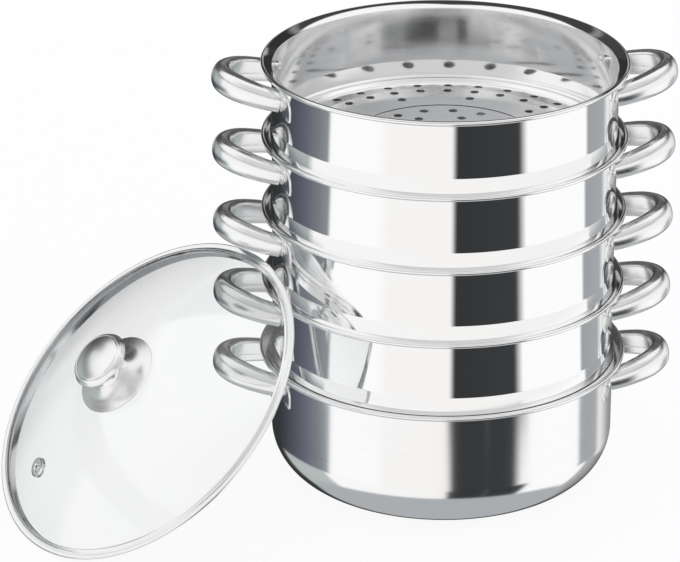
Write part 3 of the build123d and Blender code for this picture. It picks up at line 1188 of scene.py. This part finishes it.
# A pan-head screw with a hex socket comes up through the glass and pulls the stem down.
# A ring of black silicone under its head keeps the steel off the glass.
washer_radius = 9.0 * mm
washer_thickness = 1.2 * mm
washer_play = 0.25 * mm
washer_top = dome_height(washer_radius, glass_thickness) - washer_play
head_radius = 6.0 * mm
head_side = 1.0 * mm
head_round = 2.2 * mm
head_steps = 8
head_height = 3.2 * mm
head_top = washer_top - washer_thickness - glass_play
shank_radius = 2.5 * mm
socket_flat = 2.0 * mm
socket_depth = 1.9 * mm
screw_steps = 48
thread_rise = 0.8 * mm
thread_depth = 0.18 * mm
thread_length = 9.0 * mm
tip_play = 0.1 * mm
tip_taper = 0.4 * mm


def hex_ring(bm, height):
    """A ring of vertices on a hexagon, for the socket that the key goes into."""
    ring = []
    for step in range(screw_steps):
        turn = 2 * pi * step / screw_steps
        reach = socket_flat / cos((turn + pi / 6) % (pi / 3) - pi / 6)
        ring.append(bm.verts.new((reach * cos(turn), reach * sin(turn), height)))
    return ring


thread = []
thread_top = screw_top - tip_play
thread_low = screw_top - thread_length
crests = int((thread_top - thread_low) / thread_rise)
for crest in range(crests):
    low = thread_low + crest * thread_rise
    thread += [(shank_radius, low), (shank_radius - thread_depth, low + thread_rise / 2)]
head_centre = (head_radius - head_round, head_top - head_side)
screw_line = (
    [(0, thread_top), (shank_radius - tip_taper, thread_top)]
    + thread[::-1]
    + [(shank_radius, head_top), (head_radius, head_top)]
    + arc(head_centre, head_round, 0, -pi / 2, head_steps)
)
screw_satin = polished_steel(
    "screw_steel", low=0.24, high=0.34, scratch=0.3, place=lid_place
)
bm = bmesh.new()
screw_rings = turned(bm, screw_line, screw_steps, closed=False)
socket_mouth = hex_ring(bm, head_top - head_height)
socket_floor = hex_ring(bm, head_top - head_height + socket_depth)
band_between(bm, screw_rings[-1], socket_mouth)
band_between(bm, socket_mouth, socket_floor)
bm.faces.new(socket_floor)
screw = object_from("knob_screw", bm, "lid", [screw_satin], place=lid_place)
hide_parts("lid_knob_screw")


def soft_rubber(name, colour, bloom_gain=1.6):
    """Matte moulded silicone with a fine bloom on it."""
    material, nodes, links, shader = new_material(name)
    where = nodes.new("ShaderNodeTexCoord")
    bloom = nodes.new("ShaderNodeTexNoise")
    bloom.inputs["Scale"].default_value = 900.0
    bloom.inputs["Detail"].default_value = 3.0
    links.new(where.outputs["Object"], bloom.inputs["Vector"])
    paler = tuple(min(1.0, channel * bloom_gain) for channel in colour)
    tone = ramp_node(nodes, [(0.35, colour), (0.7, paler)])
    links.new(bloom.outputs["Fac"], tone.inputs[0])
    links.new(tone.outputs[0], shader.inputs["Base Color"])
    shader.inputs["Roughness"].default_value = 0.6
    bump = nodes.new("ShaderNodeBump")
    bump.inputs["Strength"].default_value = 0.3
    bump.inputs["Distance"].default_value = 0.05 * mm
    links.new(bloom.outputs["Fac"], bump.inputs["Height"])
    links.new(bump.outputs[0], shader.inputs["Normal"])
    return material


washer_low = washer_top - washer_thickness
washer_bore = shank_radius + glass_play
washer_mid = (washer_bore + washer_radius) / 2
washer_bends = [0.5 * mm, 0.5 * mm, 0.2 * mm, 0.2 * mm]
washer_line = bent(
    [
        (washer_mid, washer_top),
        (washer_radius, washer_top),
        (washer_radius, washer_low),
        (washer_bore, washer_low),
        (washer_bore, washer_top),
        (washer_mid, washer_top),
    ],
    washer_bends,
)[:-1]
bm = bmesh.new()
turned(bm, washer_line, screw_steps)
silicone = soft_rubber("silicone_black", (0.012, 0.012, 0.013))
washer = object_from("knob_washer", bm, "lid", [silicone], place=lid_place)
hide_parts("lid_knob_washer")

# The steam vent is a steel eyelet. Its tube goes through the glass, and both its ends
# are clenched outwards into round-edged flanges.
flange_radius = 8.0 * mm
flange_height = 0.9 * mm
flange_round = 1.6 * mm
flange_edge = 0.35 * mm
clench_height = 0.8 * mm
clench_edge = 0.45 * mm
vent_bore = 3.0 * mm
bore_round = 0.7 * mm
vent_bends = (0.3, 0.3, 0.8, 0.35, 0.2, 0.1, 0.1, 0.2, 0.35, 0.8, 0.3, 0.3)
tube_radius = vent_hole - glass_play
vent_play = 0.25 * mm
vent_drop = glass_thickness + vent_play
vent_side = vent_out.orthogonal().normalized()
vent_axes = Matrix((vent_side, vent_out.cross(vent_side), vent_out)).transposed().to_4x4()
vent_seat = Matrix.Translation((vent_flat.x, vent_flat.y, dome_height(vent_flat.length)))
vent_place = lid_place @ vent_seat @ vent_axes
vent_line = bent(
    [
        (vent_bore, -glass_thickness / 2),
        (vent_bore, flange_height - flange_edge),
        (vent_bore + bore_round, flange_height),
        (flange_radius - flange_round, flange_height),
        (flange_radius, flange_height - flange_edge),
        (flange_radius, glass_play),
        (tube_radius, glass_play),
        (tube_radius, -vent_drop),
        (flange_radius, -vent_drop),
        (flange_radius, -vent_drop - clench_edge),
        (flange_radius - flange_round, -vent_drop - clench_height),
        (vent_bore + bore_round, -vent_drop - clench_height),
        (vent_bore, -vent_drop - clench_edge),
        (vent_bore, -glass_thickness / 2),
    ],
    [bend * mm for bend in vent_bends],
)[:-1]
bm = bmesh.new()
turned(bm, vent_line, vent_steps)
eyelet = object_from("vent_eyelet", bm, "lid", [band_satin], place=vent_place)
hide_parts("lid_vent_grommet")
